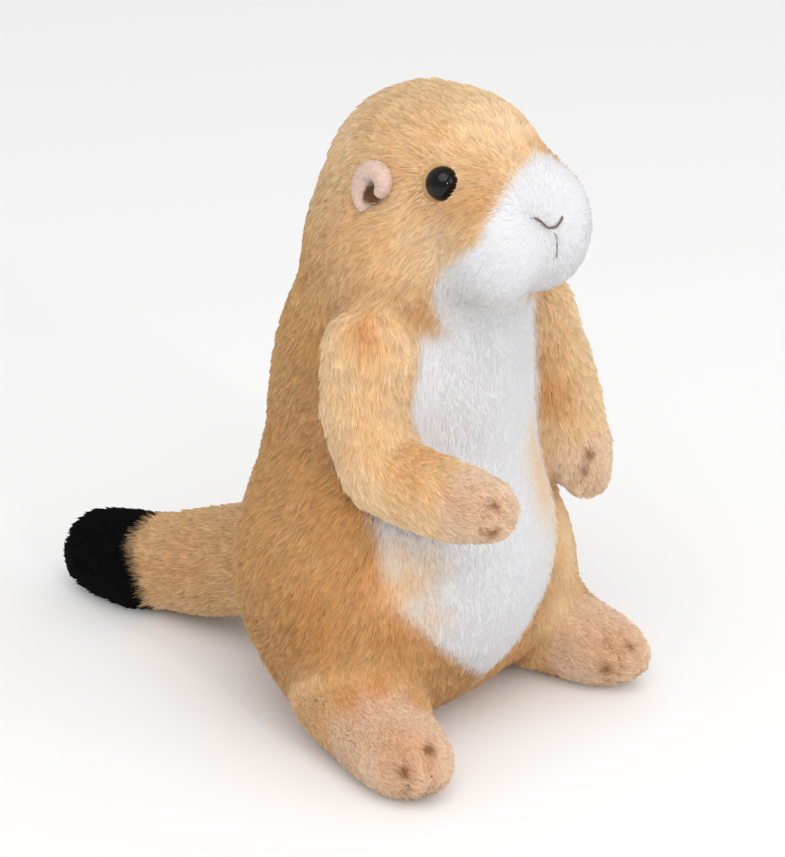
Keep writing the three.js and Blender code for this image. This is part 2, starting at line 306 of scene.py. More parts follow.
# Pile by CAD node, in mm: length of a tuft, depth of the coat, width of a tuft, tufts per square mm,
# and how far up the coat's depth a tuft has come by its middle
pile = {
    "crown": (5.4, 2.0, 0.27, 6.4, 0.88),
    "muzzle": (3.2, 1.1, 0.24, 8.6, 0.9),
    "trunk": (5.8, 2.2, 0.29, 5.4, 0.85),
    "front_panel": (4.2, 1.4, 0.26, 6.8, 0.9),
    "haunch": (6.0, 2.2, 0.29, 5.4, 0.85),
    "upper_arm": (5.6, 2.2, 0.28, 6.0, 0.82),
    "forearm": (5.2, 2.1, 0.28, 6.2, 0.82),
    "paw": (2.8, 1.4, 0.24, 8.6, 0.75),
    "foot": (3.2, 1.5, 0.25, 7.6, 0.75),
    "tail": (5.8, 2.2, 0.29, 5.4, 0.85),
    "tail_tip": (5.2, 2.2, 0.29, 5.8, 0.8),
}
fleshNodes = [
    "crown", "muzzle", "trunk", "front_panel", "haunch_right", "haunch_left",
    "upper_arm_right", "upper_arm_left", "forearm_right", "forearm_left",
    "paw_right", "paw_left", "foot_right", "foot_left", "tail", "tail_tip",
]
threadNodes = sorted(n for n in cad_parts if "stitch" in n)
toeThreads = [n for n in threadNodes if n.startswith(("paw", "foot"))]
faceThreads = [n for n in threadNodes if n not in toeThreads]
sides = ("right", "left")


def kindOf(node):
    return node if node in pile else node.rsplit("_", 1)[0]


def threadPoints(nodes):
    return np.concatenate([meshPoints(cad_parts[n].data) for n in nodes])


def turnedFlat(v, degrees):
    turn = math.radians(degrees)
    x = v[:, 0] * math.cos(turn) - v[:, 1] * math.sin(turn)
    y = v[:, 0] * math.sin(turn) + v[:, 1] * math.cos(turn)
    return np.stack([x, y, v[:, 2]], 1)


def toHead(p):
    return turnedFlat(p - np.array(head["at"]), -head["turn"])


def fromHeadWay(v):
    return turnedFlat(v, head["turn"])


def faceWhite(p):
    across, depth, height = toHead(p).T
    upper = smoothStep(*head["throatToCheek"], height)
    edge = readTable(cheekEdge, across) * upper + readTable(throatEdge, height) * (1 - upper)
    return softEdge(softness["face"], edge - depth)


def panelWhite(p):
    half, lean = (readTable(panelRows, p[:, 2], column) for column in (1, 2))
    side = half - np.abs(p[:, 0] + lean)
    return softEdge(softness["panel"], np.minimum(side, panelBack - p[:, 1]))


def tailBlack(p):
    q = p - np.array(tailBand["at"])
    past = q @ np.array(tailBand["way"])
    past += tailBand["wedge"] * np.clip(q[:, 2] - tailBand["wedgeFrom"], 0, tailBand["wedgeMost"])
    past += np.clip(np.abs(q[:, 0]) - tailBand["flanks"], 0, tailBand["flanksMost"])
    return softEdge(softness["tail"], past)


# Sums over each point's neighbours, used to spread values evenly over the skin
def makeSpreader(count, edges, kept=0.4):
    share = 1 / np.maximum(np.bincount(edges.ravel(), minlength=count), 1)

    def spread(values, rounds):
        values = values.reshape(count, -1).astype(float)
        for _ in range(rounds):
            total = np.empty_like(values)
            for k in range(values.shape[1]):
                total[:, k] = np.bincount(edges[:, 0], values[edges[:, 1], k], count)
                total[:, k] += np.bincount(edges[:, 1], values[edges[:, 0], k], count)
            values = kept * values + (1 - kept) * total * share[:, None]
        return values

    return spread


# Which CAD node lies nearest to each point
def nearestNodes(nodes, places):
    points, corners, owner, start = [], [], [], 0
    for index, node in enumerate(nodes):
        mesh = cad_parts[node].data
        own = meshPoints(mesh)
        tris = meshTriangles(mesh)
        points.append(own)
        corners.append(tris + start)
        owner += [index] * len(tris)
        start += len(own)
    tree = surfaceTree(np.concatenate(points), np.concatenate(corners))
    return np.array(owner)[nearestOn(tree, places)[1]]


limbWays = {  # along each limb towards its end, in the drawing's frame
    "upper_arm_right": (-0.15, -0.22, -0.96), "forearm_right": (0.1, -0.9, -0.42),
    "paw_right": (0.08, -0.97, -0.22), "upper_arm_left": (0.2, -0.15, -0.96),
    "forearm_left": (0.1, -0.35, -0.93), "paw_left": (-0.1, -0.45, -0.88),
    "foot_right": (-0.34, -0.92, -0.15), "foot_left": (0, -1, -0.15),
    "tail": (-0.05, 0.93, -0.33), "tail_tip": (-0.05, 0.98, -0.1),
}
# On the head the pile runs from the nose, and turns down beside, behind and below it. Each has the
# places between which it sets in, in mm from the nose, and how steeply it turns.
headLie = dict(
    beside=(2, 22), besideTop=(26, 4), behind=(45, 75), below=(-5, -25), downs=(0.75, 1.6, 0.9),
)
flankBack = dict(haunch=0.7, trunk=0.42)  # how far the pile of the flanks leans back


# The way the pile is brushed
def lieOf(p, node):
    if node in limbWays:
        return np.broadcast_to(np.array(limbWays[node], float), p.shape).copy()
    if node in ("crown", "muzzle"):
        q = toHead(p) - np.array(head["nose"])
        way = unit(q)
        beside = smoothStep(*headLie["beside"], np.abs(q[:, 0]))
        beside *= smoothStep(*headLie["besideTop"], q[:, 2])
        behind = smoothStep(*headLie["behind"], q[:, 1])
        below = smoothStep(*headLie["below"], q[:, 2])
        way[:, 2] -= sum(down * share for down, share in zip(headLie["downs"], (beside, behind, below)))
        return fromHeadWay(way)
    way = np.zeros_like(p)
    way[:, 2] = -1
    if node != "front_panel":
        flank = np.abs(unit(p * [1, 1, 0])[:, 0])
        way[:, 1] = flankBack[kindOf(node)] * flank
    return way


# Sewn skin
skinSettings = dict(
    voxel=1.2, overlap=0.45, rounds=14, regrow=0.25, toePinch=1.3, mouthPinch=0.3, furrow=1.7,
    plugAxes=(6.6, 6.6, 2.5), plugRise=0.8, eyeDepth=2.2, eyeReach=6.5, depthSteps=200, lastRounds=3,
    spreads=dict(table=24, weights=6, flow=40),
)
eyeRing = (5.8, 9)  # the crown's faces between these distances from an eye, in mm, give its way


def eyeCentre(side):
    return np.array(sum(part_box(f"eye_{side}"), Vector()) / 2)


# The way the crown faces round a place, from its faces between two distances
def outwardNear(place, nearest, farthest):
    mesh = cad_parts["crown"].data
    points, tris = meshPoints(mesh), meshTriangles(mesh)
    a, b, c = (points[tris[:, k]] for k in range(3))
    away = np.linalg.norm((a + b + c) / 3 - place, axis=1) / mm
    normal = np.cross(b - a, c - a)
    return unit(normal[(away > nearest) & (away < farthest)].sum(0))


def eyeWay(side):
    return outwardNear(eyeCentre(side), *eyeRing)


# Fills the socket that the CAD leaves round an eye, so the skin runs on under the bead
def eyePlug(side, s):
    way = eyeWay(side)
    place = eyeCentre(side) + way * s["plugRise"] * mm
    return ellipsoid(place, s["plugAxes"], Vector(way).to_track_quat("Z", "Y"), segments=24)


# Pile, nearest nodes and brushed way at each point, evened out over the seams
def pileFields(points, edges, s):
    spread = makeSpreader(len(points), edges)
    owner = nearestNodes(fleshNodes, points)
    table = np.array([pile[kindOf(n)] for n in fleshNodes])[owner]
    drawn = points / mm - seat
    flow = np.zeros_like(points)
    for index, node in enumerate(fleshNodes):
        mine = owner == index
        flow[mine] = lieOf(drawn[mine], node)
    fields = dict(table=table, weights=np.eye(len(fleshNodes))[owner], flow=flow)
    fields = {name: spread(values, s["spreads"][name]) for name, values in fields.items()}
    fields["flow"] = unit(fields["flow"])
    return fields


# How far the skin lies under the CAD surface, in mm
def pileDepth(points, fields, s):
    depth = fields["table"][:, 1].copy()
    for nodes, pinch in ((toeThreads, s["toePinch"]), (faceThreads, s["mouthPinch"])):
        depth += pinch * bump(distanceTo(points, threadPoints(nodes)) / mm, s["furrow"])
    for side in sides:
        byEye = bump(np.linalg.norm(points - eyeCentre(side), axis=1) / mm, s["eyeReach"])
        depth = depth * (1 - byEye) + s["eyeDepth"] * byEye
    return depth


def sink(piece, depth, steps):
    deepest = depth.max()
    group = piece.vertex_groups.new(name="depth")
    levels = np.round(depth / deepest * steps).astype(int)
    for level in range(1, steps + 1):
        chosen = np.flatnonzero(levels == level)
        if len(chosen):
            group.add(chosen.tolist(), level / steps, "REPLACE")
    applied(piece, "DISPLACE", strength=-deepest * mm, mid_level=0, vertex_group="depth")
    piece.vertex_groups.clear()


def makeSkin(s):
    copies = [nodeCopy(n) for n in fleshNodes] + [eyePlug(side, s) for side in sides]
    piece = joined(copies, "skin")
    mergeDoubles(piece)
    swollen(piece, s["overlap"])
    applied(piece, "REMESH", mode="VOXEL", voxel_size=s["voxel"] * mm)
    swollen(piece, -s["overlap"])
    smoothed(piece, s["rounds"])
    swollen(piece, s["regrow"])
    points = meshPoints(piece.data)
    fields = pileFields(points, meshEdges(piece.data), s)
    sink(piece, pileDepth(points, fields, s), s["depthSteps"])
    smoothed(piece, s["lastRounds"])
    smoothFaces(piece)
    return piece, fields


skin, skinFields = makeSkin(skinSettings)
pause(f"skin with {len(skin.data.polygons)} faces")

# Painted shade: golden, darker patches in the creases between parts and on the far arm's inner side, as
# place in mm, reach and strength
creaseShadeSpots = [
    ((-42.5, -19.8, 138.6), 5, 0.8), ((-43.3, -24.1, 135.4), 5, 0.6), ((-38, -40, 101), 8, 0.6),
    ((-37.2, -38.1, 104.5), 6, 0.6), ((-41, -28.5, 58.5), 8, 0.9), ((-38, -30, 47), 8, 0.5),
    ((26, -35.4, 99.4), 7, 0.75), ((27.4, -37.1, 94.5), 6, 0.6), ((24.1, -33.3, 110.8), 6, 0.6),
    ((-53.9, -25.6, 25.5), 5, 0.7), ((-47.9, -30.8, 30), 5, 0.7), ((-38.5, -38.7, 23.5), 5, 0.5),
    ((-56, -50, 15), 8, 0.35), ((38, -55, 14), 8, 0.35), ((-54.6, -7.3, 47.2), 11, 0.35),
    ((-12, 42, 40), 7, 0.5),
]
# Painted shade: tan laid over the white for the arm's shadow and the shade along the panel's edges; the
# same spots turn the far flank a paler tan
edgeShadeSpots = [
    ((-36.3, -30.1, 66.7), 7, 0.6), ((-30.8, -35.1, 62.9), 7, 0.6), ((-35.5, -33.3, 59.3), 8, 0.85),
    ((-39.2, -30.6, 56.6), 7, 0.95), ((-31, -36, 47), 7, 0.5), ((-24, -29, 138), 6, 0.35),
    ((22.4, -37.6, 69), 8, 0.85), ((26, -38, 60), 7, 0.6), ((21.9, -36, 76.4), 8, 0.9),
    ((18.7, -36.3, 84.2), 7, 0.75), ((18.4, -35.7, 91), 6, 0.55), ((38.5, -34.6, 50), 14, 0.95),
    ((41, -31, 58), 10, 0.7), ((39, -36.2, 39), 12, 0.9), ((31, -37.5, 28), 9, 0.75),
]
# The face's golden and pale patches, in the head's frame and the same on both sides
faceBlush = [((16.5, -37.5, 11), 8, 0.5), ((19.4, -32, 7), 5, 0.45), ((12, -34, 18), 5, 0.4)]
facePale = [((0, -32, 24), 13, 0.8), ((24, -28, -6), 10, 0.6), ((14, -40, 20), 7, 0.6)]
# Painted shade in the toes' dimples, as place in mm
toePitShade = [
    (-39.4, -66.3, 95.6), (-40.3, -66.7, 88.9), (35.3, -43.6, 73.9), (36.3, -44.3, 78.6),
    (-59.5, -51, 13.5), (-52, -53.5, 17.8), (34, -55, 11), (40.5, -58, 15.5),
]
# Share of a node from which its colour sets in, how strong the deeper gold of the feet and tail is, where
# it comes up the neck and nape as painted shade, and the painted shade in the dimples and grooves of the
# toes
markSettings = dict(
    own=(0.3, 0.7), footDeep=0.7, tailDeep=0.5, neck=(150, 135), napeHeight=(178, 146),
    napeFront=(-25, 12), pitReach=1.5, pitStrength=1.3, grooveReach=1.7, grooveStrength=0.5,
)


def spotted(places, spots):
    strongest = np.zeros(len(places))
    for at, reach, strength in spots:
        away = np.linalg.norm(places - np.array(at), axis=1)
        strongest = np.maximum(strongest, strength * bump(away, reach))
    return strongest


# Marks are white, beige, black, and golden cheeks with painted shade in the creases; tints are deeper
# gold that is partly painted shade, painted shade in the toe hollows and at the panel's edges, and pale
def marksOf(points, weights, s):
    def share(*kinds):
        return sum(weights[:, i] for i, n in enumerate(fleshNodes) if kindOf(n) in kinds)

    drawn = points / mm - seat
    onHead = share("crown", "muzzle")
    onTrunk = share("trunk", "front_panel", "haunch")
    onTail = share("tail", "tail_tip")
    white = faceWhite(drawn) * onHead + panelWhite(drawn) * onTrunk
    beige = smoothStep(*s["own"], share("paw"))
    for node, (way, at) in ankles.items():
        onward = softEdge(softness["ankle"], drawn @ np.array(way) - at)
        beige += smoothStep(*s["own"], weights[:, fleshNodes.index(node)]) * onward
    black = tailBlack(drawn) * smoothStep(*s["own"], onTail)
    inHead = toHead(drawn)
    mirrored = np.stack([np.abs(inHead[:, 0]), inHead[:, 1], inHead[:, 2]], 1)
    # golden cheek patches, and painted shade in the creases
    blushAndShade = np.maximum(spotted(drawn, creaseShadeSpots), spotted(mirrored, faceBlush) * onHead)
    # deeper gold on the body, feet and tail, and up the neck and nape: partly painted shade
    deepGoldAndShade = np.clip(onTrunk + s["footDeep"] * share("foot") + s["tailDeep"] * onTail, 0, 1)
    nape = smoothStep(*s["napeHeight"], drawn[:, 2]) * smoothStep(*s["napeFront"], drawn[:, 1])
    for low in (smoothStep(*s["neck"], drawn[:, 2]), nape):
        deepGoldAndShade = np.maximum(deepGoldAndShade, onHead * low)
    # painted shade in the toes' dimples and along their grooves, on the beige only
    pitShade = spotted(drawn, [(at, s["pitReach"], s["pitStrength"]) for at in toePitShade])
    groove = bump(distanceTo(points, threadPoints(toeThreads)) / mm, s["grooveReach"])
    hollowShade = np.clip(np.maximum(s["grooveStrength"] * groove, pitShade), 0, 1) * beige
    pale = spotted(mirrored, facePale) * onHead
    marks = np.stack([np.clip(white, 0, 1), beige, black, blushAndShade], 1)
    # tints: deeper gold that is partly painted shade, painted shade in the toe hollows and at the panel's
    # edges, and pale
    tints = np.stack([deepGoldAndShade, hollowShade, spotted(drawn, edgeShadeSpots), pale], 1)
    return marks, tints


def addColours(mesh, name, values):
    attribute = mesh.attributes.new(name, "FLOAT_COLOR", "POINT")
    attribute.data.foreach_set("color", np.ascontiguousarray(values, np.float32).ravel())


def unwrapped(piece):
    makeActive(piece)
    bpy.ops.object.mode_set(mode="EDIT")
    bpy.ops.mesh.select_all(action="SELECT")
    bpy.ops.uv.smart_project(angle_limit=math.radians(66), island_margin=0.004)
    bpy.ops.object.mode_set(mode="OBJECT")
    piece.data.uv_layers.active.name = "OFBake"


backingStrand = (0.4, 0.5, 0.5, 1.0)  # as dark as a fibre is 0.4 of the way up, and of middle tone


def finishSkin(piece, fields, marks, tints):
    unwrapped(piece)
    fields.update(marks=marks, tints=tints)
    addColours(piece.data, "marks", marks)
    addColours(piece.data, "tints", tints)
    addColours(piece.data, "strand", np.tile(backingStrand, (len(marks), 1)))


skinMarks = marksOf(meshPoints(skin.data), skinFields["weights"], markSettings)
finishSkin(skin, skinFields, *skinMarks)
pause("skin unwrapped")

# Ears: a rolled rim of short-pile velvet round a shallow cup, open at the front.
# Places are forward, up and out from the ear's root, in mm, and the rim's last value is its radius.
earSettings = dict(
    aim=(27.5, -7.8, 9.5), rootReach=5, tilt=0.12, cup=(3.6, 5.4, 1.1), cupAt=(0, -0.8, 0),
    opening=(0.2, -2.2, 1.0), openReach=3.6, openFrom=(0.25, 0.7), openDepth=(3.2, 1.8), voxel=0.42,
    rounds=6, pile=(1.1, 0.35, 0.17, 15, 0.6), way=(0, 0.75, -0.45),
)
earRim = [
    (-1.2, -7.4, 0.5, 1.3), (-3.4, -4.4, 1.6, 1.9), (-4.1, 0.2, 2.6, 2.3), (-2.6, 4.4, 3.2, 2.6),
    (0.8, 5.6, 3.5, 2.7), (3.5, 3.6, 3.1, 2.5), (3.9, 1.0, 2.4, 2.1), (2.6, -0.9, 1.8, 1.5),
]


# Root on the head and the three ways of an ear, in metres in the row frame
def earFrame(side, s):
    sign = -1 if side == "right" else 1
    aim = np.array([s["aim"]]) * [sign, 1, 1]
    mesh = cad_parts["crown"].data
    wanted = (fromHeadWay(aim)[0] + np.array(head["at"]) + seat) * mm
    root = nearestOn(surfaceTree(meshPoints(mesh), meshTriangles(mesh)), wanted[None])[0][0]
    out = outwardNear(root, 0, s["rootReach"])
    forward = fromHeadWay(np.array([[0.0, -1.0, 0.0]]))[0]
    forward = unit(forward - out * forward.dot(out))
    up = unit(np.array([0, 0, 1.0]) - out * out[2])
    up = unit(up - forward * up.dot(forward))
    turn = sign * s["tilt"]
    forward, up = (v * math.cos(turn) + np.cross(out, v) * math.sin(turn) for v in (forward, up))
    return root, forward, up, out


def makeEar(side, s):
    root, forward, up, out = earFrame(side, s)

    def place(f, u, o):
        return root + (forward * f + up * u + out * o) * mm

    rimPath = [place(*row[:3]) for row in earRim]
    rim = bar("rim", rimPath, 1, fineness=5, radii=[row[3] for row in earRim])
    turn = Matrix((forward, up, np.cross(forward, up))).transposed().to_quaternion()
    cup = ellipsoid(place(*s["cupAt"]), s["cup"], turn, segments=32)
    piece = joined([rim, cup], "ear" + side.capitalize())
    applied(piece, "REMESH", mode="VOXEL", voxel_size=s["voxel"] * mm)
    smoothed(piece, s["rounds"])
    smoothFaces(piece)
    points = meshPoints(piece.data)
    count = len(points)
    # painted shade low in the ear's cup, at its open front
    away = np.linalg.norm(points - place(*s["opening"]), axis=1) / mm
    raised = (points - root) @ out / mm
    opening = smoothStep(*s["openFrom"], bump(away, s["openReach"]))
    opening *= smoothStep(*s["openDepth"], raised)
    none = np.zeros(count)
    flow = np.tile(unit(np.array(s["way"], float)), (count, 1))
    fields = dict(table=np.tile(s["pile"], (count, 1)), weights=np.ones((count, 1)), flow=flow)
    finishSkin(piece, fields, np.zeros((count, 4)), np.stack([none, opening, none, none], 1))
    return piece, fields


ears = {side: makeEar(side, earSettings) for side in sides}
pause("ears made")

# Pile. Sizes are in mm, and a pair is the range of a random factor or of a gap over which tufts grow
# to their full length. Guards are the few longer, thinner fibres that stand out of the coat.
coatSettings = dict(
    seed=11, density=0.84, underside=3.4, undersideShare=0.5, lock=1.6, lockSpread=3.6, gather=0.26,
    gathers=(0.6, 1.2), gatherMiddle=0.35, sway=0.2, swaySize=12, disorder=0.17, follow=0.4,
    lengths=(0.75, 1.15), heights=(0.78, 1.08), widths=(0.75, 1.25), root=0.35, ridge=0.5, floorGap=0.05,
    guards=0.16, guardRise=1.6, guardWidth=0.25, eyeGap=5.1, eyeGrow=(5, 10), eyeShort=0.3, beadRim=5.25,
    beadReach=12, leastCut=0.12, threadGap=0.45, threadGrow=(0.2, 3.5), threadShort=0.5,
    patch=0.0015, normalBlend=0.2, ownShade=0.45,
)
earCoat = dict(coatSettings, seed=23, density=1.0, lock=0.5, gather=0.1, root=0.15, guards=0.03)


# Roots spread evenly over triangles, by area times the wanted density
def scatter(points, tris, density, chance):
    a, b, c = (points[tris[:, k]] for k in range(3))
    area = np.linalg.norm(np.cross(b - a, c - a), axis=1) / 2 / mm**2
    running = np.cumsum(area * density[tris].mean(1))
    picks = np.arange(int(running[-1])) + chance.random(int(running[-1]))
    found = np.minimum(np.searchsorted(running, picks), len(tris) - 1)
    u, v = chance.random(len(found)), chance.random(len(found))
    flip = u + v > 1
    u[flip], v[flip] = 1 - u[flip], 1 - v[flip]
    return found, np.stack([1 - u - v, u, v], 1)


# Slow random waves over space, between about -1 and 1
def waves(p, size, chance, count=9):
    total = np.zeros(len(p))
    for _ in range(count):
        way = unit(chance.normal(size=3)) * 2 * math.pi / (size * chance.uniform(0.7, 1.6))
        total += np.sin(p @ way + chance.uniform(0, 2 * math.pi))
    return total / math.sqrt(count)


# The skin's values at the roots, clear of the eyes and threads and short round them
def rootsOn(mesh, fields, c, chance):
    points, normals, tris = meshPoints(mesh), meshNormals(mesh), meshTriangles(mesh)
    underside = points[:, 2] < c["underside"] * mm
    density = fields["table"][:, 3] * c["density"] * np.where(underside, c["undersideShare"], 1)
    found, shares = scatter(points, tris, density, chance)
    corners = tris[found]

    def mixed(values):
        return (values * shares[:, :, None]).sum(1)

    field = {name: mixed(fields[name][corners]) for name in ("weights", "flow", "table")}
    field["root"] = mixed(points[corners])
    field["normal"] = unit(mixed(normals[corners]))
    field["uv"] = mixed(cornerUvs(mesh)[found])
    root = field["root"]
    eyeGap = np.min([np.linalg.norm(root - eyeCentre(side), axis=1) for side in sides], 0) / mm
    threadGap = distanceTo(root, threadPoints(threadNodes)) / mm
    byEye = smoothStep(*c["eyeGrow"], eyeGap) * (1 - c["eyeShort"]) + c["eyeShort"]
    byThread = smoothStep(*c["threadGrow"], threadGap) * (1 - c["threadShort"]) + c["threadShort"]
    field["short"] = byEye * byThread
    keep = (eyeGap > c["eyeGap"]) & (threadGap > c["threadGap"])
    return {name: values[keep] for name, values in field.items()}


def gapFromLine(points, place, way):
    away = points - place
    return np.linalg.norm(away - np.outer(away @ way, way), axis=1) / mm


# Tufts that would reach over a bead end at its rim
def cutAtBeads(root, middle, tip, c):
    for side in sides:
        centre, facing = eyeCentre(side), eyeWay(side)
        rootGap, tipGap = (gapFromLine(p, centre, facing) for p in (root, tip))
        over = (tipGap < c["beadRim"]) & (np.linalg.norm(root - centre, axis=1) < c["beadReach"] * mm)
        cut = (rootGap - c["beadRim"]) / np.maximum(rootGap - tipGap, 0.01)
        cut = np.clip(cut, c["leastCut"], 1)[:, None]
        middle, tip = (np.where(over[:, None], root + (p - root) * cut, p) for p in (middle, tip))
    return middle, tip


def growTufts(piece, fields, c):
    chance = np.random.default_rng(c["seed"])
    field = rootsOn(piece.data, fields, c, chance)
    root, normal, short = (field[name] for name in ("root", "normal", "short"))
    count = len(root)

    # brushed way, with slow sways and a little disorder
    sideways = unit(np.cross(normal, field["flow"]))
    lie = unit(np.cross(sideways, normal))
    turn = c["sway"] * waves(root / mm, c["swaySize"], chance) + chance.normal(0, c["disorder"], count)
    lie = unit(lie * np.cos(turn)[:, None] + sideways * np.sin(turn)[:, None])
    guard = chance.random(count) < c["guards"]
    sizes = field["table"] * mm
    length = sizes[:, 0] * short * chance.uniform(*c["lengths"], count)
    height = sizes[:, 1] * np.sqrt(short) * chance.uniform(*c["heights"], count)
    height *= np.where(guard, c["guardRise"], 1)
    width = sizes[:, 2] * chance.uniform(*c["widths"], count) * np.where(guard, c["guardWidth"], 1)

    # follow the skin to the middle and the tip of each tuft
    points, normals, tris = meshPoints(piece.data), meshNormals(piece.data), meshTriangles(piece.data)
    tree = surfaceTree(points, tris)
    half = length[:, None] * 0.5
    spot, middleFace = nearestOn(tree, root + lie * half)
    middleUp = unit(normals[tris[middleFace]].mean(1))
    flow = unit(fields["flow"][tris[middleFace]].mean(1))
    onward = squareTo(unit(spot - root) * (1 - c["follow"]) + flow * c["follow"], middleUp)
    middle = spot + middleUp * height[:, None] * field["table"][:, 4:]
    spot, tipFace = nearestOn(tree, spot + onward * half)
    tipUp = unit(normals[tris[tipFace]].mean(1))
    tip = spot + tipUp * height[:, None]
    middle, tip = cutAtBeads(root, middle, tip, c)

    # neighbouring tufts gather into locks
    leaders = np.flatnonzero(chance.random(count) < 1 / (c["lock"] ** 2 * c["lockSpread"]))
    leaderTree = pointTree(root[leaders])
    leader = leaders[[leaderTree.find(p)[1] for p in root.tolist()]]
    gather = c["gather"] * chance.uniform(*c["gathers"], count)[:, None]
    tip = tip + (tip[leader] - tip) * gather
    middle = middle + (middle[leader] - middle) * gather * c["gatherMiddle"]

    # the middle always arches over the line from root to tip, also in a furrow
    base = root - normal * c["root"] * mm
    way = unit(tip - base)
    over = squareTo(middleUp, way)
    lift = ((middle - base) * over).sum(1)
    middle = middle + over * np.maximum(width * c["ridge"] - lift, 0)[:, None]
    across = np.cross(over, way) * width[:, None] / 2
    corners = np.stack([base, middle - across, middle + across, tip], 1)
    corners[:, :, 2] = np.maximum(corners[:, :, 2], c["floorGap"] * mm)
    lean = unit(across) * c["normalBlend"]
    soft = unit(np.stack([normal, middleUp - lean, middleUp + lean, tipUp], 1))
    tufts = dict(corners=corners, soft=soft, place=root / mm - seat)
    tufts.update(uv=field["uv"], weights=field["weights"])
    tufts["tone"], tufts["lockTone"] = chance.random(count), chance.random(count)[leader]
    for name in ("marks", "tints"):  # a tuft has the colour of the place where it shows
        tufts[name] = sum(fields[name][tris[face]].mean(1) for face in (middleFace, tipFace)) / 2
    return tufts


# A tuft is a slim closed kite: root, two sides and tip
tuftFaces = np.array([(0, 1, 2), (3, 2, 1), (0, 3, 1), (0, 2, 3)])
tuftAlong = [0, 0.55, 0.55, 1]
patchSteps = np.array([(-1, 0), (0, -1), (0, 1), (1, 0)])


def buildPile(name, tufts, chosen, material, c):
    corners = tufts["corners"][chosen]
    count = len(corners)
    mesh = bpy.data.meshes.new(name)
    mesh.vertices.add(count * 4)
    mesh.vertices.foreach_set("co", corners.astype(np.float32).ravel())
    faces = (np.arange(count)[:, None, None] * 4 + tuftFaces).reshape(-1, 3)
    mesh.loops.add(faces.size)
    mesh.loops.foreach_set("vertex_index", faces.astype(np.int32).ravel())
    mesh.polygons.add(len(faces))
    mesh.polygons.foreach_set("loop_start", np.arange(0, faces.size, 3, dtype=np.int32))
    uvs = tufts["uv"][chosen][:, None, :] + patchSteps * c["patch"]
    layer = mesh.uv_layers.new(name="OFBake")
    layer.data.foreach_set("uv", uvs.reshape(-1, 2)[faces.ravel()].astype(np.float32).ravel())
    mesh.update()
    addColours(mesh, "marks", np.repeat(tufts["marks"][chosen], 4, axis=0))
    addColours(mesh, "tints", np.repeat(tufts["tints"][chosen], 4, axis=0))
    strand = np.ones((count, 4, 4))
    strand[:, :, 0] = tuftAlong
    strand[:, :, 1] = tufts["tone"][chosen][:, None]
    strand[:, :, 2] = tufts["lockTone"][chosen][:, None]
    addColours(mesh, "strand", strand.reshape(-1, 4))
    # shaded nearly half by the tuft's own faces and the rest by the skin, as fine fibres scatter light
    first, second, third = (corners[:, tuftFaces[:, k]] for k in range(3))
    own = unit(np.cross(second - first, third - first))[:, :, None] * c["ownShade"]
    shades = unit(own + tufts["soft"][chosen][:, tuftFaces] * (1 - c["ownShade"]))
    mesh.normals_split_custom_set(shades.reshape(-1, 3).tolist())
    mesh.materials.append(material)
    piece = linked(name, mesh)
    piece.visible_shadow = False  # light passes through the fibres, and the skin casts the shadow
    return piece


# Acrylic plush pile: dull, half clear fibres that glow at their pale tips; the darker roots are painted
# shade low in the pile.
# Each layer is laid over those before it by one channel of the marks, as root and tip colours.
plushSettings = dict(
    base=("#d3a469", "#f2d7b0"),
    tanLayers=[
        ("tints", "Red", "#b4804a", "#ddb27e"),  # deeper gold on the body and tail, partly painted shade of the flanks, back and nape
        ("tints", "Alpha", "#e6c093", "#fde8c8"),  # paler forehead and cheeks
        ("marks", "Green", "#cda482", "#eed4ba"),  # pinkish beige paws and feet
        ("marks", "Alpha", "#b9722f", "#dd9d55"),  # golden cheeks and painted shade in the creases
    ],
    overLayers=[
        ("marks", "Red", "#dcdbdc", "#e8e8ea"),  # white face and front
        ("tints", "Blue", "#e0b685", "#efd3ab"),  # painted shade: tan over the white at the panel's edges, paler tan on the far flank
        ("marks", "Blue", "#070607", "#131214"),  # black tail tip
        ("tints", "Green", "#56300f", "#9a622d"),  # painted shade in the hollows at the toe threads
    ],
    patchSize=22.0, patchColour="#d9983f", patchFrom=(0.45, 0.75), patchShare=0.22,
    tones=[("Green", (0.82, 1.1)), ("Blue", (0.93, 1.05))],
    roughness=(0.92, 0.72), gloss=0.2, sheen=0.08, sheenRough=0.5, specks=None,
)
# Short-pile velvet of the ears: pinkish, with faint grey specks and painted shade in the ear's open front
velvetSettings = dict(
    plushSettings, base=("#d3b09c", "#f1dbcd"), tanLayers=[], patchShare=0.0,
    # painted shade in the ear's open front
    overLayers=[("tints", "Green", "#442c1a", "#845d36")],
    specks=dict(size=2.2, colour="#8d8580", start=0.6, full=0.72, share=0.3),
)
knit = dict(size=0.7, strength=0.5, depth=0.2)  # loops of the knitted backing, in mm


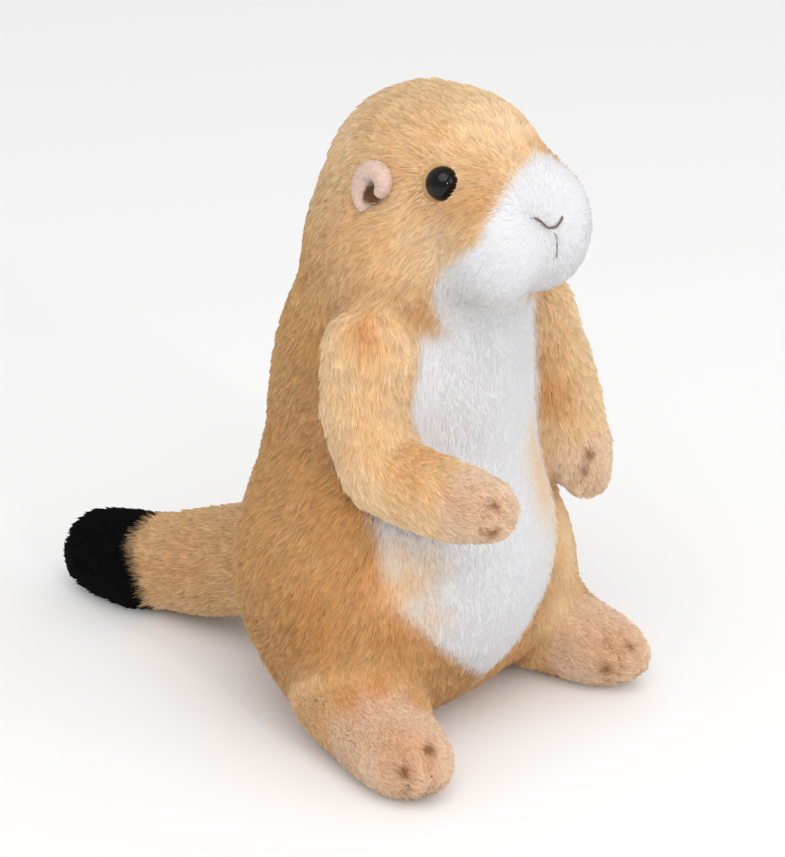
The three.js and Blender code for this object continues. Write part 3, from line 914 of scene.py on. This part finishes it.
def pileMaterial(name, c, knitted=False):
    material, tree, shader = newMaterial(name)
    names = ("marks", "tints", "strand")
    data = {n: addNode(tree, "ShaderNodeAttribute", dict(attribute_name=n)).outputs for n in names}
    for n in names:
        split = addNode(tree, "ShaderNodeSeparateColor", None, {"Color": data[n]["Color"]}).outputs
        data[n] = dict(Red=split["Red"], Green=split["Green"], Blue=split["Blue"], Alpha=data[n]["Alpha"])
    along = data["strand"]["Red"]
    place = addNode(tree, "ShaderNodeTexCoord").outputs["Object"]
    rgba = dict(data_type="RGBA")

    def laidOver(under, layers):
        for kind, band, root, tip in layers:
            layer = addNode(tree, "ShaderNodeMix", rgba, {0: along, 6: linear(root), 7: linear(tip)})
            inputs = {0: data[kind][band], 6: under, 7: layer.outputs[2]}
            under = addNode(tree, "ShaderNodeMix", rgba, inputs).outputs[2]
        return under

    root, tip = c["base"]
    colour = addNode(tree, "ShaderNodeMix", rgba, {0: along, 6: linear(root), 7: linear(tip)})
    colour = laidOver(colour.outputs[2], c["tanLayers"])
    patches = addNode(tree, "ShaderNodeTexNoise", None, {
        "Vector": place, "Scale": 1 / (c["patchSize"] * mm), "Detail": 3.0})
    start, full = c["patchFrom"]
    share = addNode(tree, "ShaderNodeMapRange", None, {
        "Value": patches.outputs["Fac"], "From Min": start, "From Max": full, "To Max": c["patchShare"]})
    colour = addNode(tree, "ShaderNodeMix", rgba, {
        0: share.outputs["Result"], 6: colour, 7: linear(c["patchColour"])}).outputs[2]
    # single tufts and whole locks differ a little in tone
    tones = [addNode(tree, "ShaderNodeMapRange", None, {
        "Value": data["strand"][band], "To Min": least, "To Max": most}).outputs["Result"]
        for band, (least, most) in c["tones"]]
    tone = addNode(tree, "ShaderNodeMath", dict(operation="MULTIPLY"), dict(enumerate(tones))).outputs[0]
    grey = addNode(tree, "ShaderNodeCombineColor", None, {"Red": tone, "Green": tone, "Blue": tone})
    tint = dict(data_type="RGBA", blend_type="MULTIPLY", clamp_result=True)
    colour = addNode(tree, "ShaderNodeMix", tint, {0: 1.0, 6: colour, 7: grey.outputs["Color"]})
    colour = laidOver(colour.outputs[2], c["overLayers"])
    specks = c["specks"]
    if specks:
        noise = addNode(tree, "ShaderNodeTexNoise", None, {
            "Vector": place, "Scale": 1 / (specks["size"] * mm), "Detail": 1.0})
        dots = addNode(tree, "ShaderNodeMapRange", None, {
            "Value": noise.outputs["Fac"], "From Min": specks["start"], "From Max": specks["full"],
            "To Max": specks["share"]})
        colour = addNode(tree, "ShaderNodeMix", rgba, {
            0: dots.outputs["Result"], 6: colour, 7: linear(specks["colour"])}).outputs[2]
    tree.links.new(colour, shader.inputs["Base Color"])
    # fibres are a little duller at the root than at the tip
    dull, bright = c["roughness"]
    rough = addNode(tree, "ShaderNodeMapRange", None, {"Value": along, "To Min": dull, "To Max": bright})
    tree.links.new(rough.outputs["Result"], shader.inputs["Roughness"])
    shader.inputs["Specular IOR Level"].default_value = c["gloss"]
    shader.inputs["Sheen Weight"].default_value = c["sheen"]
    shader.inputs["Sheen Roughness"].default_value = c["sheenRough"]
    if knitted:
        loops = addNode(tree, "ShaderNodeTexVoronoi", None, {
            "Vector": place, "Scale": 1 / (knit["size"] * mm)})
        relief = addNode(tree, "ShaderNodeBump", None, {
            "Height": loops.outputs["Distance"], "Strength": knit["strength"],
            "Distance": knit["depth"] * mm})
        tree.links.new(relief.outputs["Normal"], shader.inputs["Normal"])
    return material


plushPile = pileMaterial("acrylicPlushPile", plushSettings)
# Dyed black pile: takes in nearly all light, with next to no shine
blackPile = pileMaterial("blackPlushPile", dict(plushSettings, gloss=0.05, sheen=0.0))
# Knitted backing: the pile's own colours, dull, with fine loops that show where the pile parts
knitBacking = pileMaterial("knitBacking", plushSettings, knitted=True)
velvetPile = pileMaterial("shortVelvet", velvetSettings)
velvetBacking = pileMaterial("velvetBacking", velvetSettings, knitted=True)
skin.data.materials.append(knitBacking)

tufts = growTufts(skin, skinFields, coatSettings)
pause(f"{len(tufts['tone'])} tufts laid")
owner = np.argmax(tufts["weights"], 1)
nodeKinds = np.array([kindOf(n) for n in fleshNodes])[owner]
nodeSides = np.array([n.rsplit("_", 1)[-1] for n in fleshNodes])[owner]
right = tufts["place"][:, 0] < 0
rightOfHead = toHead(tufts["place"])[:, 0] < 0
behind = tufts["place"][:, 1] >= 12
white = tufts["marks"][:, 0] > 0.5
black = tufts["marks"][:, 2] > 0.5
onBody = np.isin(nodeKinds, ["trunk", "front_panel", "haunch"])
onHead = np.isin(nodeKinds, ["crown", "muzzle"])
onArm = np.isin(nodeKinds, ["upper_arm", "forearm"])
onFoot = nodeKinds == "foot"
onTail = np.isin(nodeKinds, ["tail", "tail_tip"])

coatPieces = [
    ("coatFace", "white_pile", onHead & white),
    ("coatHeadRight", "tan_pile", onHead & ~white & rightOfHead),
    ("coatHeadLeft", "tan_pile", onHead & ~white & ~rightOfHead),
    ("coatFront", "white_pile", onBody & white),
    ("coatFlankRight", "tan_pile", onBody & ~white & right & ~behind),
    ("coatFlankLeft", "tan_pile", onBody & ~white & ~right & ~behind),
    ("coatBackRight", "tan_pile", onBody & ~white & right & behind),
    ("coatBackLeft", "tan_pile", onBody & ~white & ~right & behind),
    ("coatArmRight", "tan_pile", onArm & (nodeSides == "right")),
    ("coatArmLeft", "tan_pile", onArm & (nodeSides == "left")),
    ("coatPaws", "beige_pile", nodeKinds == "paw"),
    ("coatFootRight", "beige_pile", onFoot & (nodeSides == "right")),
    ("coatFootLeft", "beige_pile", onFoot & (nodeSides == "left")),
    ("coatTail", "tan_pile", onTail & ~black),
    ("coatTailTip", "black_pile", onTail & black),
]
for name, slotName, chosen in coatPieces:
    look = blackPile if slotName == "black_pile" else plushPile
    piece = buildPile(name, tufts, np.flatnonzero(chosen), look, coatSettings)
    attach(piece, "root")
    print(name, len(piece.data.polygons), "triangles")
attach(skin, "root")
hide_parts(*fleshNodes)
for side, (ear, earFields) in ears.items():
    ear.data.materials.append(velvetBacking)
    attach(ear, "root")
    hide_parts(f"ear_{side}")
    earTufts = growTufts(ear, earFields, earCoat)
    everyTuft = np.arange(len(earTufts["tone"]))
    piece = buildPile("coatEar" + side.capitalize(), earTufts, everyTuft, velvetPile, earCoat)
    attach(piece, "root")
    print(piece.name, len(piece.data.polygons), "triangles")
pause("coat built")

# Bead eyes: moulded domes with a flat back and a shank that goes into the head
beadSettings = dict(radius=5.0, backAt=-1.6, backInset=2.72, shankLong=2.6, bevel=0.18)


def makeBead(side, s):
    deselectAll()
    bpy.ops.mesh.primitive_uv_sphere_add(segments=64, ring_count=40, radius=s["radius"] * mm)
    bead = bpy.context.object
    bead.name = bead.data.name = "bead" + side.capitalize()
    bpy.ops.object.mode_set(mode="EDIT")
    bpy.ops.mesh.select_all(action="SELECT")
    back = (0, 0, s["backAt"] * mm)
    bpy.ops.mesh.bisect(plane_co=back, plane_no=(0, 0, 1), use_fill=True, clear_inner=True)
    bpy.ops.mesh.select_mode(type="FACE")
    bpy.ops.mesh.select_all(action="DESELECT")
    bpy.ops.object.mode_set(mode="OBJECT")
    widest = max(bead.data.polygons, key=lambda p: len(p.vertices))
    widest.select = True
    bpy.ops.object.mode_set(mode="EDIT")
    bpy.ops.mesh.inset(thickness=s["backInset"] * mm)
    down = {"value": (0, 0, -s["shankLong"] * mm)}
    bpy.ops.mesh.extrude_region_move(TRANSFORM_OT_translate=down)
    bpy.ops.object.mode_set(mode="OBJECT")
    applied(bead, "BEVEL", width=s["bevel"] * mm, segments=3, angle_limit=math.radians(40))
    bead.location = eyeCentre(side)
    aimed(bead, eyeWay(side), "Z")
    settle(bead)
    smoothFaces(bead)
    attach(bead, "root")
    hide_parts(f"eye_{side}")
    return bead


acrylicSettings = dict(colour="#060607", ior=1.38, smearSize=2.5, clean=0.05, smeared=0.14)


# Moulded black acrylic: near black all through, polished so that lamps show as small clear lights,
# with faint dust and finger marks that break the gloss
def acrylicMaterial(c):
    material, tree, shader = newMaterial("polishedBlackAcrylic")
    place = addNode(tree, "ShaderNodeTexCoord").outputs["Object"]
    smears = addNode(tree, "ShaderNodeTexNoise", None, {
        "Vector": place, "Scale": 1 / (c["smearSize"] * mm), "Detail": 4.0})
    rough = addNode(tree, "ShaderNodeMapRange", None, {
        "Value": smears.outputs["Fac"], "From Min": 0.3, "From Max": 0.7, "To Min": c["clean"],
        "To Max": c["smeared"]})
    tree.links.new(rough.outputs["Result"], shader.inputs["Roughness"])
    shader.inputs["Base Color"].default_value = linear(c["colour"])
    shader.inputs["IOR"].default_value = c["ior"]
    return material


blackAcrylic = acrylicMaterial(acrylicSettings)
for side in sides:
    makeBead(side, beadSettings).data.materials.append(blackAcrylic)
pause("bead eyes set")

# Threads: two plies twisted together, laid on the furrows that the CAD threads mark. Each kind has
# its ply's radius, the twist's radius and pitch, its height over the skin, and how far its ends dip.
threadKinds = {
    "nose": dict(ply=0.23, twist=0.18, pitch=1.6, above=1.25, dip=1.4, colour="#4c392c"),
    "mouth": dict(ply=0.14, twist=0.11, pitch=1.3, above=1.0, dip=1.2, colour="#8d8682"),
    "toe": dict(ply=0.18, twist=0.14, pitch=1.4, above=0.25, dip=0.6, colour="#6d4320"),
}
threadSettings = dict(stepsPerTurn=9, rounds=12, bins=9, endShare=0.12)


# Middle line of a CAD thread, from its points in bins along its longest way
def threadLine(node, bins):
    points = meshPoints(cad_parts[node].data)
    middle = points.mean(0)
    way = np.linalg.svd(points - middle, full_matrices=False)[2][0]
    reach = (points - middle) @ way
    edges = np.linspace(reach.min(), reach.max(), bins + 1)
    hair = 1e-9  # so that points on a bin's edge count
    groups = [points[(reach >= a - hair) & (reach <= b + hair)] for a, b in zip(edges[:-1], edges[1:])]
    return np.array([g.mean(0) for g in groups if len(g)])


def resampled(line, step):
    run = np.concatenate([[0], np.cumsum(np.linalg.norm(np.diff(line, axis=0), axis=1))])
    at = np.linspace(0, run[-1], max(int(run[-1] / step), 4))
    return np.stack([np.interp(at, run, line[:, k]) for k in range(3)], 1)


def makeThread(node, kind, skinTree, s):
    line = resampled(threadLine(node, s["bins"]), kind["pitch"] * mm / s["stepsPerTurn"])
    for _ in range(s["rounds"]):
        line[1:-1] = (line[:-2] + 2 * line[1:-1] + line[2:]) / 4
    ground = nearestOn(skinTree, line)[0]
    up = unit(line - ground)
    run = np.linspace(0, 1, len(line))
    ends = smoothStep(0, s["endShare"], run) * smoothStep(1, 1 - s["endShare"], run)
    line = ground + up * ((kind["above"] + kind["dip"] * (ends - 1)) * mm)[:, None]
    way = unit(np.gradient(line, axis=0))
    side = unit(np.cross(way, up))
    normal = np.cross(side, way)
    plies = []
    for start in (0, math.pi):
        angle = start + np.arange(len(line)) * 2 * math.pi / s["stepsPerTurn"]
        coil = np.cos(angle)[:, None] * side + np.sin(angle)[:, None] * normal
        plies.append(bar("ply", line + coil * kind["twist"] * mm, kind["ply"], fineness=2))
    words = node.split("_")
    thread = joined(plies, words[0] + "".join(w.capitalize() for w in words[1:]))
    smoothFaces(thread)
    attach(thread, "root")
    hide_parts(node)
    return thread


fuzz = dict(size=0.5, colour="#c9b8a6", share=0.35, strength=0.4, depth=0.05)


# Spun polyester embroidery thread: soft shine, with fine pale fibres along each ply
def threadMaterial(name, body, c):
    material, tree, shader = newMaterial(name + "SpunThread")
    place = addNode(tree, "ShaderNodeTexCoord").outputs["Object"]
    fibres = addNode(tree, "ShaderNodeTexNoise", None, {
        "Vector": place, "Scale": 1 / (c["size"] * mm), "Detail": 2.0})
    share = addNode(tree, "ShaderNodeMapRange", None, {
        "Value": fibres.outputs["Fac"], "From Min": 0.3, "From Max": 0.7, "To Max": c["share"]})
    colour = addNode(tree, "ShaderNodeMix", dict(data_type="RGBA"), {
        0: share.outputs["Result"], 6: linear(body), 7: linear(c["colour"])})
    tree.links.new(colour.outputs[2], shader.inputs["Base Color"])
    relief = addNode(tree, "ShaderNodeBump", None, {
        "Height": fibres.outputs["Fac"], "Strength": c["strength"], "Distance": c["depth"] * mm})
    tree.links.new(relief.outputs["Normal"], shader.inputs["Normal"])
    shader.inputs["Roughness"].default_value = 0.6
    shader.inputs["Sheen Weight"].default_value = 0.3
    return material


threadMaterials = {name: threadMaterial(name, kind["colour"], fuzz) for name, kind in threadKinds.items()}
skinTree = surfaceTree(meshPoints(skin.data), meshTriangles(skin.data))
for node in threadNodes:
    name = "toe" if node in toeThreads else node.split("_")[0]
    thread = makeThread(node, threadKinds[name], skinTree, threadSettings)
    thread.data.materials.append(threadMaterials[name])
pause("threads sewn")

# Floor and light, in metres and watts
stageSettings = dict(size=6, drop=0.00002, colour="#fbfbfb", roughness=0.9, gloss=0.1, world=0.62)
softboxes = [
    dict(name="overheadSoftbox", place=(-0.75, -0.7, 2.0), aim=(0, 0, 0.1), size=2.2, power=24),
    dict(name="frontSoftbox", place=(0.5, -1.9, 0.9), aim=(0, 0, 0.1), size=1.2, power=6),
    dict(name="sparkLamp", place=(-0.55, -1.5, 0.75), aim=(0, 0, 0.16), size=0.12, power=2.5),
]


# Matt white paint: pale and even, with hardly a reflection
def makeStage(c):
    deselectAll()
    bpy.ops.mesh.primitive_plane_add(size=c["size"], location=(0, 0, -c["drop"]))
    floor = bpy.context.object
    floor.name = "floor"
    material, tree, shader = newMaterial("paintedFloor")
    shader.inputs["Base Color"].default_value = linear(c["colour"])
    shader.inputs["Roughness"].default_value = c["roughness"]
    shader.inputs["Specular IOR Level"].default_value = c["gloss"]
    floor.data.materials.append(material)
    settle(floor)
    world = bpy.data.worlds.new("studio")
    world.use_nodes = True
    world.node_tree.nodes["Background"].inputs["Color"].default_value = linear("#ffffff")
    world.node_tree.nodes["Background"].inputs["Strength"].default_value = c["world"]
    bpy.context.scene.world = world


def addLight(name, place, aim, size, power):
    data = bpy.data.lights.new(name, "AREA")
    data.shape = "DISK"
    data.size = size
    data.energy = power
    lamp = linked(name, data)
    lamp.location = place
    aimed(lamp, Vector(aim) - Vector(place), "-Z")


makeStage(stageSettings)
for softbox in softboxes:
    addLight(**softbox)
bpy.context.scene.view_settings.view_transform = "Standard"
bpy.context.scene.view_settings.look = "None"

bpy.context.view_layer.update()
pause("ready")
